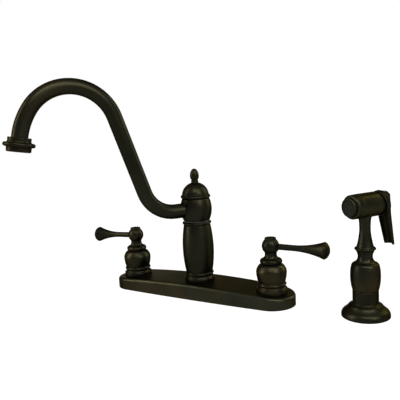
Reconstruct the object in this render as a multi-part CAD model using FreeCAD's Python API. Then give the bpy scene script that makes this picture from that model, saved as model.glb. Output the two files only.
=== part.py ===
import FreeCAD, Part
import math
import os

# Two handle kitchen faucet with a side sprayer, in millimetres.
# Origin: centre of the deck plate's underside, on the column's axis.
# +Z is up, +X runs along the deck plate to the right, the user stands at -Y.

V = FreeCAD.Vector
UP = V(0, 0, 1)

# ---- driving dimensions: deck plate -------------------------------------
HANDLE_X = 101.6            # handle centres from the column (8 in between them)
DECK_END_R = 27.8           # round ends, concentric with the handles
DECK_HALF_WIDTH = 29.5      # half width at the column, where the sides bow out
DECK_TOP = 19.0             # height of the crowned top at the column
DECK_CROWN_FALL = 3.705     # how much lower the crowned top is at the handles
DECK_WALL = 2.5
DECK_EDGE_R = 3.4           # rounding of the top edge
GASKET_T = 1.5
UNDER_PLATE_T = 2.5
GASKET_BAND = 9.0           # width of the gasket's rim
SHELL_CLEARANCE = 0.2       # under plate and gasket inside the shell
HOLE_CLEARANCE = 0.4        # holes for the valves and the post

# ---- supply shanks and clamping below the deck ---------------------------
SHANK_R = 10.45             # 1/2 in straight pipe thread
SHANK_BORE_R = 6.0
SHANK_LENGTH = 52.0
SUPPLY_THREAD = 19.0        # free end of the shank, for the supply line's nut
THREAD_RELIEF = 3.0         # plain groove between it and the clamping thread
DECK_STOCK = 12.0           # sink deck or counter between gasket and washer
WASHER_R = 19.0
WASHER_T = 2.0
NUT_T = 9.0
NUT_ACROSS = 30.0
THREAD_CLEARANCE = 0.1
WASHER_CLEARANCE = 0.3
FIT = 0.1                   # between pieces that are pushed or screwed together

# ---- valves ---------------------------------------------------------------
VALVE_SHOULDER_R = 14.5
VALVE_SHOULDER_H = 7.0      # from the under plate up
VALVE_NECK_WALL = 3.9       # round the cartridge
CARTRIDGE_R = 8.0
CHAMBER_DEPTH = 23.0        # of the valve body's chamber, for the cartridge
SEAT_DEPTH = 3.0            # from the chamber's floor down to the shank's bore
SEAT_BORE_R = 3.2
BONNET_ACROSS = 19.0
BONNET_T = 5.5
BONNET_NECK_R = 7.5
STEM_R = 3.9
STEM_SQUARE = 6.2
STEM_DISC_R = 6.0
STEM_DISC_T = 3.6
STEM_DISC_CLEARANCE = 0.3
SHAFT_CLEARANCE = 0.08
SUPPLY_TUBE_R = 3.8
SUPPLY_TUBE_WALL = 1.0
SUPPLY_Z = 8.0

# ---- bell and handle --------------------------------------------------------
BELL_RING_R = 18.4
BELL_R = 18.25
BELL_RISE = 9.8             # bell's top above the valve body's
COLLAR_R = 13.3
HANDLE_GAP = 0.4            # running gap between bell and handle
NECK_R = 7.1
LEVER_CLEARANCE = 0.2       # lever's root in the ball
STEM_CLEARANCE = 0.3        # stem and screw in the hub
BALL_R = 10.4
BALL_RISE = 20.5            # ball's centre above the hub's underside
CAP_R = 6.85
CAP_RISE = 10.9             # button's top above the ball's centre
CAP_FLUTES = 16
LEVER_LENGTH = 69.8         # from the handle's axis to the tip
LEVER_STEM_R = 3.6
LEVER_FLARE_START = 28.0
LEVER_FLARE_END = 63.0
LEVER_END_R = 10.0
LEVER_DROOP = 2.0           # degrees below level
LEFT_LEVER_TURN = 3.0       # degrees towards the user when shut
RIGHT_LEVER_TURN = -7.0     # the right one stands a little back

# ---- column and spout -------------------------------------------------------
COLUMN_RING_R = 19.1
COLUMN_BELLY_R = 20.0
COLUMN_END_R = 17.1
COLUMN_HEIGHT = 77.0        # above the plate's top
COLUMN_WALL = 3.0
POST_R = 10.5
POST_BORE_R = 6.5
POST_THREAD_R = 8.5
POST_THREAD_LENGTH = 8.7
BEARING_T = 0.7
BEARING_GAP = 0.3
POST_CLEARANCE = 0.1        # hub that turns on the post
COLUMN_CLEARANCE = 0.2      # column and bearing ring round the post
HUB_R = 19.95
HUB_UNDER_TUBE = 4.6        # hub's foot below the tube
HUB_OVER_TUBE = 4.8         # and its top above the tube
HUB_RECESS = 4.0            # depth of the hub's seat for the dome
DOME_RIM_R = 18.9
DOME_R = 17.2
FINIAL_R = 5.7
FINIAL_LENGTH = 16.2
O_RING_R = 0.75
NIPPLE_R = 6.6              # outlet below the column, for the sprayer's hose
NIPPLE_ROOT_R = 7.4
NIPPLE_LENGTH = 32.0
NIPPLE_ROOT_LENGTH = 8.0
SPOUT_TURN = 35.0           # degrees from straight ahead towards the left
SPOUT_TUBE_R = 9.2
SPOUT_TUBE_WALL = 1.3
SPOUT_ROOT = 12.6           # tube end inside the hub
SPOUT_LEVEL_END = 29.3      # end of the level run, from the column's axis
SPOUT_RISE_R = 39.0
SPOUT_RISE_ANGLE = 72.0
SPOUT_RUN = 97.8            # straight run between the two bends
SPOUT_BEND_R = 53.3
SPOUT_BEND_ANGLE = 126.0
SPOUT_DROP_R = 81.0
SPOUT_DROP_ANGLE = 26.5
OUTLET_COLLAR_R = 12.9
OUTLET_BEAD_R = 17.6
OUTLET_BEAD_T = 5.0
OUTLET_MOUTH_R = 12.4
OUTLET_LENGTH = 14.0        # from the tube's end to the mouth

# ---- side sprayer -----------------------------------------------------------
SPRAYER_X = 211.0
SPRAYER_Y = 5.0
HOLDER_FLANGE_R = 26.3
HOLDER_CUP_R = 14.0
HOLDER_BORE_R = 11.6
HOLDER_HEIGHT = 29.7
HOLDER_SHANK_R = 14.0
HOLDER_SHANK_LENGTH = 40.0
HOLDER_SEAL_T = 2.5
HOLDER_NUT_ACROSS = 36.0
HOLDER_WASHER_R = 21.0
GRIP_SEAT_GAP = 0.3
GRIP_R = 16.15
GRIP_TAIL_LENGTH = 16.0     # inside the holder
GRIP_TAIL_GAP = 0.9         # round the tail in the holder's bore
GRIP_LENGTH = 46.7          # from its seat on the holder to its top
NECK_LENGTH = 45.8          # from the grip to the head's axis
HOSE_NIPPLE_R = 5.0
HEAD_R = 13.4
HEAD_TURN = 30.0            # degrees from straight ahead towards the left
HEAD_SEAM = 11.9            # joint of head and front cap, ahead of the neck
HEAD_FRONT = 20.4
HEAD_SHOULDER = 14.0        # behind it the head steps down to its spigot
HEAD_REAR = 22.5
SPIGOT_STEP = 1.6           # the rear end is this much thinner, inside the trigger's cup
NOZZLE_FRONT = 23.7
NOZZLE_R = 10.4
FACE_R = 8.5
TRIGGER_PIN_BACK = 20.0     # pivot behind the neck's axis
TRIGGER_PIN_UP = 9.0        # and above the head's axis
TRIGGER_PIN_R = 1.25
TRIGGER_REST = 10.0         # degrees that the lever stands off at rest
TRIGGER_CUP_GAP = 0.9       # between the spigot and the cup round it
TRIGGER_CUP_WALL = 1.2
TRIGGER_RIM = 17.2          # front and back of the cup, behind the neck's axis
TRIGGER_BACK = 25.5
TRIGGER_WALL = 1.8
LEVER_SECTIONS = [          # (height from the head's axis, distance behind the neck's axis, radius)
    (12.6, 23.6, 6.6), (9.4, 25.0, 8.7), (-13.0, 27.8, 7.8), (-47.5, 34.8, 6.4)]
LEVER_FRONT = 23.4          # its front edges, at the height of the head's axis
LEVER_SLOPE = 13.9          # degrees that they run back towards the bottom
CHANNEL_TOP = -5.0          # the channel in its front starts below the plunger
PLUNGER_R = 2.4
SPRING_R = 3.7
SPRING_WIRE_R = 0.45
SPRING_TURNS = 6

# ---- heights that follow from them ------------------------------------------
crown_r = (HANDLE_X ** 2 + DECK_CROWN_FALL ** 2) / (2 * DECK_CROWN_FALL)
under_top = GASKET_T + UNDER_PLATE_T
valve_neck_r = CARTRIDGE_R + FIT + VALVE_NECK_WALL
chamber_floor = under_top + VALVE_SHOULDER_H + 6.0
valve_top = chamber_floor + CHAMBER_DEPTH
bell_top = valve_top + BELL_RISE
ball_z = bell_top + HANDLE_GAP + BALL_RISE
cap_top = ball_z + CAP_RISE
stem_top = ball_z - 5.2
screw_head_z = ball_z + 2.9
column_top = DECK_TOP + COLUMN_HEIGHT
hub_low = column_top + BEARING_T + BEARING_GAP
spout_z = hub_low + HUB_UNDER_TUBE + SPOUT_TUBE_R
hub_top = spout_z + SPOUT_TUBE_R + HUB_OVER_TUBE
post_shoulder = hub_top - HUB_RECESS
grip_low = HOLDER_HEIGHT + GRIP_SEAT_GAP
grip_top = grip_low + GRIP_LENGTH
head_z = grip_top + NECK_LENGTH
spigot_r = HEAD_R - SPIGOT_STEP
cup_bore_r = spigot_r + TRIGGER_CUP_GAP
cup_r = cup_bore_r + TRIGGER_CUP_WALL

pieces = {}


# ---- shape helpers ------------------------------------------------------------
def bowed_edge(a, b, bow):
    """Edge from a to b; bow is how far it swells to the right of its way."""
    if abs(bow) < 1e-9:
        return Part.LineSegment(a, b).toShape()
    way = b.sub(a)
    right = V(way.z, 0, -way.x).normalize()
    middle = a.add(b).multiply(0.5).add(right.multiply(bow))
    return Part.Arc(a, middle, b).toShape()


def turned(outline):
    """Solid of revolution about Z through (radius, z) or (radius, z, bow) points."""
    points = [V(p[0], 0, p[1]) for p in outline]
    edges = []
    for i in range(len(points)):
        j = (i + 1) % len(points)
        bow = outline[j][2] if len(outline[j]) > 2 else 0
        if points[i].distanceToPoint(points[j]) > 1e-6:
            edges.append(bowed_edge(points[i], points[j], bow))
    face = Part.Face(Part.Wire(edges))
    return face.revolve(V(0, 0, 0), UP, 360)


def dome_bow(radius, height):
    """Bow of the arc from a rim of this radius to a dome's top, centred on the axis."""
    sphere_r = (radius ** 2 + height ** 2) / (2 * height)
    return sphere_r - math.sqrt(sphere_r ** 2 - (radius ** 2 + height ** 2) / 4)


def rod(radius, low, high, x=0, y=0):
    return Part.makeCylinder(radius, high - low, V(x, y, low))


def ring(outer, inner, low, high):
    return rod(outer, low, high).cut(rod(inner, low - 1, high + 1))


def hexagon(across, low, high):
    corner = across / math.sqrt(3)
    points = [V(corner * math.cos(math.radians(60 * k)), corner * math.sin(math.radians(60 * k)), low)
              for k in range(7)]
    return Part.Face(Part.makePolygon(points)).extrude(V(0, 0, high - low))


def square(across, low, high):
    return Part.makeBox(across, across, high - low, V(-across / 2, -across / 2, low))


def moved(shape, x=0, y=0, z=0):
    copy = shape.copy()
    copy.translate(V(x, y, z))
    return copy


def spun(shape, degrees, about=V(0, 0, 0), axis=UP):
    copy = shape.copy()
    copy.rotate(about, axis, degrees)
    return copy


def along_x(shape):
    """Turns a shape built along +Z so that it lies along +X."""
    return spun(shape, 90, axis=V(0, 1, 0))


def hole_circle(radius, count, hole_r, low, high):
    """Tools for round holes spaced evenly on a circle."""
    holes = []
    for k in range(count):
        angle = 2 * math.pi * k / count
        holes.append(rod(hole_r, low, high, radius * math.cos(angle), radius * math.sin(angle)))
    return holes


# ---- deck plate ---------------------------------------------------------------
def deck_prism(inset, low, high):
    """The plate's plan, moved inwards by inset: round ends and slightly bowed sides."""
    end_r = DECK_END_R - inset
    half = DECK_HALF_WIDTH - inset
    side_r = (HANDLE_X ** 2 + half ** 2 - end_r ** 2) / (2 * (half - end_r))
    reach = end_r / (side_r - end_r)
    tx = HANDLE_X * (1 + reach)
    ty = (side_r - half) * reach
    stops = [V(-tx, -ty, low), V(0, -half, low), V(tx, -ty, low), V(HANDLE_X + end_r, 0, low),
             V(tx, ty, low), V(0, half, low), V(-tx, ty, low), V(-HANDLE_X - end_r, 0, low)]
    edges = [Part.Arc(stops[i], stops[i + 1], stops[(i + 2) % 8]).toShape() for i in (0, 2, 4, 6)]
    return Part.Face(Part.Wire(edges)).extrude(V(0, 0, high - low))


def crowned(inset, low):
    """The plan's prism under the crown that runs along the plate."""
    reach = HANDLE_X + DECK_END_R + 5
    side = -2 * DECK_HALF_WIDTH
    radius = crown_r - inset
    end_z = DECK_TOP - crown_r + math.sqrt(radius ** 2 - reach ** 2)
    corners = [V(-reach, side, end_z), V(0, side, DECK_TOP - inset), V(reach, side, end_z)]
    top = Part.Arc(*corners).toShape()
    sides = Part.makePolygon([corners[2], V(reach, side, low - 5), V(-reach, side, low - 5), corners[0]])
    crown = Part.Face(Part.Wire([top] + sides.Edges)).extrude(V(0, -2 * side, 0))
    return deck_prism(inset, low, 2 * DECK_TOP).common(crown)


deck_body = crowned(0, 0)
top_edges = [e for e in deck_body.Edges if e.BoundBox.ZMin > DECK_TOP / 2]
deck_shell = deck_body.makeFillet(DECK_EDGE_R, top_edges).cut(crowned(DECK_WALL, -1))
for x in (-HANDLE_X, HANDLE_X):
    deck_shell = deck_shell.cut(rod(valve_neck_r + HOLE_CLEARANCE, 0, 2 * DECK_TOP, x))
pieces["deck_plate"] = deck_shell.cut(rod(POST_R + HOLE_CLEARANCE, 0, 2 * DECK_TOP))

under_plate = deck_prism(DECK_WALL + SHELL_CLEARANCE, GASKET_T, under_top)
for x in (-HANDLE_X, HANDLE_X):
    under_plate = under_plate.cut(rod(SHANK_R + SHELL_CLEARANCE, 0, 10, x))
pieces["under_plate"] = under_plate.cut(rod(NIPPLE_ROOT_R + HOLE_CLEARANCE, 0, 10))
gasket = deck_prism(DECK_WALL + SHELL_CLEARANCE, 0, GASKET_T)
pieces["deck_gasket"] = gasket.cut(deck_prism(DECK_WALL + SHELL_CLEARANCE + GASKET_BAND, -1, GASKET_T + 1))


# ---- valve bodies, cartridges and what clamps them ------------------------------
def valve_body():
    """Left-hand body at the origin; its outlet faces +X, towards the column."""
    relief_low = SUPPLY_THREAD - SHANK_LENGTH
    body = rod(SHANK_R, -SHANK_LENGTH, under_top)
    body = body.cut(ring(SHANK_R + 1, SHANK_R - 0.9, relief_low, relief_low + THREAD_RELIEF))
    body = body.fuse(rod(VALVE_SHOULDER_R, under_top, under_top + VALVE_SHOULDER_H))
    body = body.fuse(rod(valve_neck_r, under_top, valve_top))
    body = body.cut(rod(SHANK_BORE_R, -SHANK_LENGTH - 1, chamber_floor - SEAT_DEPTH))
    body = body.cut(rod(SEAT_BORE_R, chamber_floor - SEAT_DEPTH - 1, chamber_floor + 1))
    body = body.cut(rod(CARTRIDGE_R + FIT, chamber_floor, valve_top + 1))
    socket = along_x(rod(SUPPLY_TUBE_R, tube_root, VALVE_SHOULDER_R + 1))
    body = body.cut(moved(socket, z=SUPPLY_Z))
    passage_x = tube_root + passage_r + 0.6
    return body.cut(rod(passage_r, SUPPLY_Z, chamber_floor + 1, passage_x)).removeSplitter()


def cartridge():
    """Ceramic disc cartridge: barrel, hexagon and a neck that guides the stem."""
    body = rod(CARTRIDGE_R, chamber_floor + 1.0, valve_top)
    body = body.fuse(hexagon(BONNET_ACROSS, valve_top, valve_top + BONNET_T))
    body = body.fuse(rod(BONNET_NECK_R, valve_top + BONNET_T, bell_top))
    body = body.cut(rod(STEM_DISC_R + STEM_DISC_CLEARANCE, stem_floor - STEM_DISC_CLEARANCE, valve_top))
    body = body.cut(rod(STEM_R + SHAFT_CLEARANCE, valve_top - 1, bell_top + 1))
    window = Part.makeBox(2 * CARTRIDGE_R + 2, 5.0, 6.0, V(-CARTRIDGE_R - 1, -2.5, chamber_floor + 6.0))
    inlet = rod(SEAT_BORE_R, chamber_floor, chamber_floor + 8.0)
    return body.cut(window).cut(inlet)


def stem():
    """Rotating stem: disc inside the cartridge, round shaft, square top with a screw hole."""
    shaft = rod(STEM_DISC_R, stem_floor, valve_top - 0.4)
    shaft = shaft.fuse(rod(STEM_R, stem_floor, stem_square_low))
    shaft = shaft.fuse(square(STEM_SQUARE, stem_square_low, stem_top))
    return shaft.cut(rod(screw_r, stem_top - 12.0, stem_top + 1))


passage_r = 2.0
bell_bore_r = BONNET_NECK_R + 0.8
tube_root = SHANK_BORE_R + 1.5      # the supply tube's end, from the valve's axis
stem_floor = valve_top - STEM_DISC_T - 0.4
stem_square_low = bell_top + 4.0
screw_r = 1.6
nut_top = -DECK_STOCK - WASHER_T
washer = ring(WASHER_R, SHANK_R + WASHER_CLEARANCE, nut_top, -DECK_STOCK)
nut = hexagon(NUT_ACROSS, nut_top - NUT_T, nut_top).fuse(rod(NUT_ACROSS / 2 + 1.0, nut_top - 2.0, nut_top))
nut = nut.cut(rod(SHANK_R + THREAD_CLEARANCE, nut_top - NUT_T - 1, nut_top + 1))


# ---- bell and handle --------------------------------------------------------------
def bell():
    """Fixed bell round the valve: foot ring, groove, bead, swelling wall and shoulder."""
    solid = turned([
        (BELL_RING_R - 4.2, under_top + 5.0), (BELL_RING_R, under_top + 5.0), (BELL_RING_R, bell_top - 30.4),
        (BELL_RING_R - 0.6, bell_top - 29.4, 0.2), (BELL_R - 2.05, bell_top - 26.9, -0.5),
        (BELL_R - 1.75, bell_top - 25.8), (BELL_R - 1.75, bell_top - 23.2, 0.9),
        (BELL_R - 2.25, bell_top - 22.6, -0.1), (BELL_R, bell_top - 10.4, 0.45),
        (BELL_R - 1.1, bell_top - 5.4, 0.35), (BELL_R - 1.5, bell_top - 4.9),
        (COLLAR_R - 1.2, bell_top - 0.3, 0.7), (COLLAR_R - 1.6, bell_top), (bell_bore_r, bell_top),
        (bell_bore_r, bell_top - 2.4), (BELL_R - 4.85, bell_top - 5.7), (BELL_R - 2.85, bell_top - 7.8),
        (BELL_R - 2.45, bell_top - 10.8), (BELL_R - 4.05, bell_top - 22.8)])
    return solid


def handle_hub():
    """Turning hub: collar over the bell, waisted neck and the ball that holds the lever."""
    low = bell_top + HANDLE_GAP
    ball_low = ball_z - math.sqrt(BALL_R ** 2 - (NECK_R + 0.5) ** 2)
    cap_seat_r = CAP_R + 0.1
    ball_high = ball_z + math.sqrt(BALL_R ** 2 - cap_seat_r ** 2)
    solid = turned([
        (0, low), (COLLAR_R - 0.9, low), (COLLAR_R - 0.9, low + 4.6, 0.9), (COLLAR_R - 1.6, low + 5.2, -0.1),
        (NECK_R, low + 10.4, -1.25), (NECK_R, low + 11.4), (NECK_R + 0.5, ball_low, -0.1),
        (cap_seat_r, ball_high, BALL_R - math.hypot((NECK_R + 0.5 + cap_seat_r) / 2,
                                                    (ball_high + ball_low) / 2 - ball_z)),
        (0, ball_high)])
    solid = solid.cut(rod(COLLAR_R - 4.1, low - 1, low + 2.4))
    solid = solid.cut(rod(STEM_R + STEM_CLEARANCE, low, stem_square_low + 0.5))
    solid = solid.cut(square(STEM_SQUARE + FIT, stem_square_low, stem_top + STEM_CLEARANCE))
    solid = solid.cut(rod(screw_r + STEM_CLEARANCE, stem_top, ball_high + 1))
    solid = solid.cut(rod(cap_plug_r + 0.05, screw_head_z, ball_high + 1))
    stud = along_x(rod(lever_stud_r, lever_stud_start, BALL_R + 2))
    seat = along_x(rod(LEVER_STEM_R + LEVER_CLEARANCE, lever_seat, BALL_R + 2))
    return solid.cut(lever_place(stud.fuse(seat)))


def lever_place(shape):
    """Lays a lever built along +X at its height, with its droop."""
    return moved(spun(shape, LEVER_DROOP, axis=V(0, 1, 0)), z=ball_z - 0.3)


def lever():
    """Slim stem that flares like a trumpet to a creased, domed end."""
    run = LEVER_FLARE_END - LEVER_FLARE_START
    rise = LEVER_END_R - LEVER_STEM_R
    flare_r = (run ** 2 + rise ** 2) / (2 * rise)
    sag = flare_r - math.sqrt(flare_r ** 2 - (run ** 2 + rise ** 2) / 4)
    dome_r = LEVER_END_R - 0.6
    dome_start = LEVER_FLARE_END + 2.4
    solid = turned([
        (0, lever_stud_start), (lever_stud_r, lever_stud_start), (lever_stud_r, lever_seat),
        (LEVER_STEM_R + 0.15, lever_seat), (LEVER_STEM_R, LEVER_FLARE_START, -0.05),
        (LEVER_END_R, LEVER_FLARE_END, -sag), (LEVER_END_R, LEVER_FLARE_END + 1.3, 0.25),
        (LEVER_END_R - 0.7, LEVER_FLARE_END + 1.9, -0.1), (dome_r, dome_start),
        (0, LEVER_LENGTH, dome_bow(dome_r, LEVER_LENGTH - dome_start))])
    return lever_place(along_x(solid))


def cap():
    """Index button pressed into the ball, with small grip flutes."""
    seat = ball_z + math.sqrt(BALL_R ** 2 - (CAP_R + 0.1) ** 2)
    solid = turned([
        (0, screw_head_z + 2.4), (cap_plug_r, screw_head_z + 2.4), (cap_plug_r, seat), (CAP_R, seat),
        (CAP_R, cap_top - 1.4), (CAP_R - 0.7, cap_top - 0.7, 0.2), (CAP_R - 1.6, cap_top - 0.8),
        (0, cap_top, dome_bow(CAP_R - 1.6, 0.8))])
    for flute in hole_circle(CAP_R + 0.35, CAP_FLUTES, 0.75, seat + 0.5, cap_top + 1):
        solid = solid.cut(flute)
    return solid


def handle_screw():
    """Screw that holds the hub on the stem, with a crossed slot in its head."""
    solid = rod(screw_r - 0.05, stem_top - 10.0, screw_head_z)
    solid = solid.fuse(rod(3.2, screw_head_z, screw_head_z + 2.2))
    slot = Part.makeBox(5.0, 0.9, 1.4, V(-2.5, -0.45, screw_head_z + 1.2))
    return solid.cut(slot).cut(spun(slot, 90))


lever_stud_r = 2.8
lever_stud_start = 4.4
lever_seat = 9.3
cap_plug_r = 5.4

for side, x, heading in (("left", -HANDLE_X, 180 + LEFT_LEVER_TURN),
                         ("right", HANDLE_X, -RIGHT_LEVER_TURN)):
    turn = 0 if side == "left" else 180
    pieces[side + "_valve_body"] = moved(spun(valve_body(), turn), x)
    pieces[side + "_cartridge"] = moved(spun(cartridge(), 90), x)
    pieces[side + "_shank_washer"] = moved(washer, x)
    pieces[side + "_shank_nut"] = moved(nut, x)
    pieces[side + "_bell"] = moved(bell(), x).cut(deck_body)
    for name, shape in (("valve_stem", stem()), ("handle_hub", handle_hub()), ("handle_lever", lever()),
                        ("handle_cap", cap()), ("handle_screw", handle_screw())):
        pieces[side + "_" + name] = moved(spun(shape, heading), x)
    tube_run = HANDLE_X - tube_root - POST_R + 1.0
    tube = ring(SUPPLY_TUBE_R, SUPPLY_TUBE_R - SUPPLY_TUBE_WALL, 0, tube_run)
    tube_x = x + tube_root if side == "left" else x - tube_root
    pieces[side + "_supply_tube"] = moved(spun(along_x(tube), turn), tube_x, z=SUPPLY_Z)

# ---- column -------------------------------------------------------------------------
o_ring_heights = (hub_low + 4.0, post_shoulder - 2.2)
groove_floor_r = POST_R - 1.65
post_flange_r = 14.0
post_flange_top = DECK_TOP - DECK_WALL - 0.2
mixing_floor = SUPPLY_Z - 1.5
socket_end = POST_R - 1.0

post = rod(NIPPLE_R, -NIPPLE_LENGTH, under_top).fuse(rod(NIPPLE_ROOT_R, -NIPPLE_ROOT_LENGTH, under_top))
post = post.fuse(rod(post_flange_r, under_top, post_flange_top))
post = post.fuse(rod(POST_R, under_top, post_shoulder))
post = post.fuse(rod(POST_THREAD_R, under_top, post_shoulder + POST_THREAD_LENGTH))
post = post.cut(rod(3.2, -NIPPLE_LENGTH - 1, mixing_floor + 1))
post = post.cut(rod(POST_BORE_R, mixing_floor, spout_z + 3.2))
post = post.cut(ring(POST_R + 1, POST_R - 2.1, spout_z - 5.8, spout_z + 5.8))
for z in o_ring_heights:
    post = post.cut(ring(POST_R + 1, groove_floor_r, z - 1.1, z + 1.1))
supply_socket = rod(SUPPLY_TUBE_R, socket_end, post_flange_r + 1).fuse(rod(2.4, 0, socket_end))
for degrees in (0, 180):
    post = post.cut(spun(moved(along_x(supply_socket), z=SUPPLY_Z), degrees))
spout_port = moved(along_x(rod(2.6, 0, POST_R)), z=spout_z)
for degrees in (0, 90, 180, 270):
    post = post.cut(spun(spout_port, degrees))
pieces["centre_post"] = post.removeSplitter()

sleeve_low = 18.0
sleeve_high = 40.0
sleeve = ring(POST_BORE_R - 0.05, 4.2, sleeve_low, sleeve_high - 2.0)
sleeve = sleeve.fuse(ring(POST_BORE_R - 0.05, 3.0, sleeve_high - 2.0, sleeve_high))
pieces["diverter_sleeve"] = sleeve.removeSplitter()
poppet = rod(3.9, sleeve_low + 11.0, sleeve_low + 13.5).fuse(rod(1.6, sleeve_low + 1.5, sleeve_low + 18.5))
pieces["diverter_poppet"] = poppet.removeSplitter()

column_inner_r = COLUMN_END_R - COLUMN_WALL
collar_bore_r = POST_R + COLUMN_CLEARANCE
column = turned([
    (column_inner_r, DECK_TOP - 3), (COLUMN_RING_R, DECK_TOP - 3), (COLUMN_RING_R, DECK_TOP + 3.4),
    (COLUMN_RING_R - 0.6, DECK_TOP + 4.4, 0.2), (COLUMN_END_R + 0.1, DECK_TOP + 7.4, -0.4),
    (COLUMN_END_R + 0.3, DECK_TOP + 8.3), (COLUMN_END_R + 0.3, DECK_TOP + 10.7, 1.0),
    (COLUMN_END_R, DECK_TOP + 11.3, -0.1), (COLUMN_END_R, column_top - 5.4, COLUMN_BELLY_R - COLUMN_END_R),
    (COLUMN_END_R, column_top - 4.4, -0.15), (COLUMN_END_R + 0.1, column_top - 3.8),
    (COLUMN_END_R + 0.1, column_top - 0.6, 1.2), (COLUMN_END_R - 0.4, column_top),
    (collar_bore_r, column_top), (collar_bore_r, column_top - 5.5), (column_inner_r, column_top - 7.5)])
pieces["column_barrel"] = column.cut(deck_body)
bearing_top = column_top + BEARING_T
pieces["column_bearing_ring"] = ring(COLUMN_END_R - 0.6, collar_bore_r, column_top, bearing_top)
o_ring_set = [Part.makeTorus(groove_floor_r + O_RING_R, O_RING_R, V(0, 0, z)) for z in o_ring_heights]
pieces["lower_o_ring"] = o_ring_set[0]
pieces["upper_o_ring"] = o_ring_set[1]

# ---- spout ----------------------------------------------------------------------------
heading = -90 - SPOUT_TURN
hub_bore_r = POST_R + POST_CLEARANCE
hub_recess_r = COLUMN_END_R - 2.0
hub = turned([
    (hub_bore_r, hub_low), (COLUMN_END_R - 0.6, hub_low), (COLUMN_END_R - 0.1, hub_low + 0.6, 0.1),
    (COLUMN_END_R + 0.4, hub_top - 0.5, HUB_R - COLUMN_END_R - 0.15), (COLUMN_END_R, hub_top, 0.1),
    (hub_recess_r, hub_top), (hub_recess_r, post_shoulder), (hub_bore_r, post_shoulder)])
tube_bore = moved(along_x(rod(SPOUT_TUBE_R + FIT, SPOUT_ROOT, HUB_R + 3)), z=spout_z)
water_bore = moved(along_x(rod(6.2, 0, SPOUT_ROOT + 1)), z=spout_z)
pieces["spout_hub"] = spun(hub.cut(tube_bore).cut(water_bore), heading)


def spout_path():
    """Centre line in the XZ plane: level run, rise, straight run, bend and drop."""
    place = V(SPOUT_ROOT, 0, spout_z)
    pitch = 0.0
    edges = []

    def straight(length):
        nonlocal place
        end = place.add(V(math.cos(pitch), 0, math.sin(pitch)).multiply(length))
        edges.append(Part.LineSegment(place, end).toShape())
        place = end

    def bend(radius, degrees):
        nonlocal place, pitch
        side = 1 if degrees > 0 else -1
        centre = place.add(V(-math.sin(pitch), 0, math.cos(pitch)).multiply(side * radius))
        stops = []
        for share in (0.5, 1.0):
            angle = pitch + math.radians(degrees) * share
            stops.append(centre.add(V(math.sin(angle), 0, -math.cos(angle)).multiply(side * radius)))
        edges.append(Part.Arc(place, stops[0], stops[1]).toShape())
        place = stops[1]
        pitch += math.radians(degrees)

    straight(SPOUT_LEVEL_END - SPOUT_ROOT)
    bend(SPOUT_RISE_R, SPOUT_RISE_ANGLE)
    straight(SPOUT_RUN)
    bend(SPOUT_BEND_R, -SPOUT_BEND_ANGLE)
    bend(SPOUT_DROP_R, -SPOUT_DROP_ANGLE)
    return edges, place, pitch


def tube_along(edges, radius):
    solids = []
    for edge in edges:
        start = edge.Vertexes[0].Point
        circle = Part.Wire(Part.Circle(start, edge.tangentAt(edge.FirstParameter), radius).toShape())
        solids.append(Part.Wire(edge).makePipeShell([circle], True, True))
    return solids


spout_edges, spout_end, spout_pitch = spout_path()
outer_runs = tube_along(spout_edges, SPOUT_TUBE_R)
inner_runs = tube_along(spout_edges, SPOUT_TUBE_R - SPOUT_TUBE_WALL)
spout_tube = outer_runs[0].cut(inner_runs[0])
for outer_run, inner_run in zip(outer_runs[1:], inner_runs[1:]):
    spout_tube = spout_tube.fuse(outer_run.cut(inner_run))
pieces["spout_tube"] = spun(spout_tube.removeSplitter(), heading)


def at_outlet(shape):
    """Puts a shape built along +Z at the tube's end, pointing the way the water leaves."""
    lean = 90 - math.degrees(spout_pitch)
    placed = spun(shape, lean, axis=V(0, 1, 0))
    return spun(moved(placed, spout_end.x, 0, spout_end.z), heading)


collar_low = 3.2
collar_spigot_r = 11.2
bead_r = OUTLET_BEAD_T / 2
bead_z = collar_low + 0.2 + bead_r
outlet_collar = turned([
    (SPOUT_TUBE_R + FIT, -2.2), (OUTLET_COLLAR_R - 0.4, -2.2), (OUTLET_COLLAR_R, -1.8, 0.1),
    (OUTLET_COLLAR_R, collar_low - 1.2), (OUTLET_COLLAR_R + 0.9, collar_low, -0.2),
    (collar_spigot_r, collar_low), (collar_spigot_r, 8.2), (SPOUT_TUBE_R - SPOUT_TUBE_WALL, 8.2),
    (SPOUT_TUBE_R - SPOUT_TUBE_WALL, 0.0), (SPOUT_TUBE_R + FIT, 0.0)])
pieces["outlet_collar"] = at_outlet(outlet_collar)
aerator_shell = turned([
    (collar_spigot_r + 0.05, collar_low), (OUTLET_COLLAR_R + 1.1, collar_low),
    (OUTLET_BEAD_R - bead_r, bead_z - bead_r), (OUTLET_BEAD_R - bead_r, bead_z + bead_r, bead_r),
    (OUTLET_COLLAR_R + 0.9, bead_z + bead_r + 0.2, -0.1),
    (OUTLET_COLLAR_R + 0.6, 12.6), (OUTLET_MOUTH_R, OUTLET_LENGTH, 0.35), (10.6, OUTLET_LENGTH),
    (10.2, OUTLET_LENGTH - 0.5), (10.2, OUTLET_LENGTH - 1.6), (collar_spigot_r + 0.05, OUTLET_LENGTH - 1.6)])
pieces["aerator_shell"] = at_outlet(aerator_shell)
pieces["aerator_washer"] = at_outlet(ring(collar_spigot_r - 0.1, 8.2, 8.2, 9.4))
screen = rod(collar_spigot_r - 0.1, 9.4, OUTLET_LENGTH - 1.6)
for circle, count in ((0, 1), (2.4, 6), (4.8, 12), (7.2, 18)):
    for hole in hole_circle(circle, count, 0.75, 9.0, OUTLET_LENGTH):
        screen = screen.cut(hole)
pieces["aerator_screen"] = at_outlet(screen)

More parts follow.
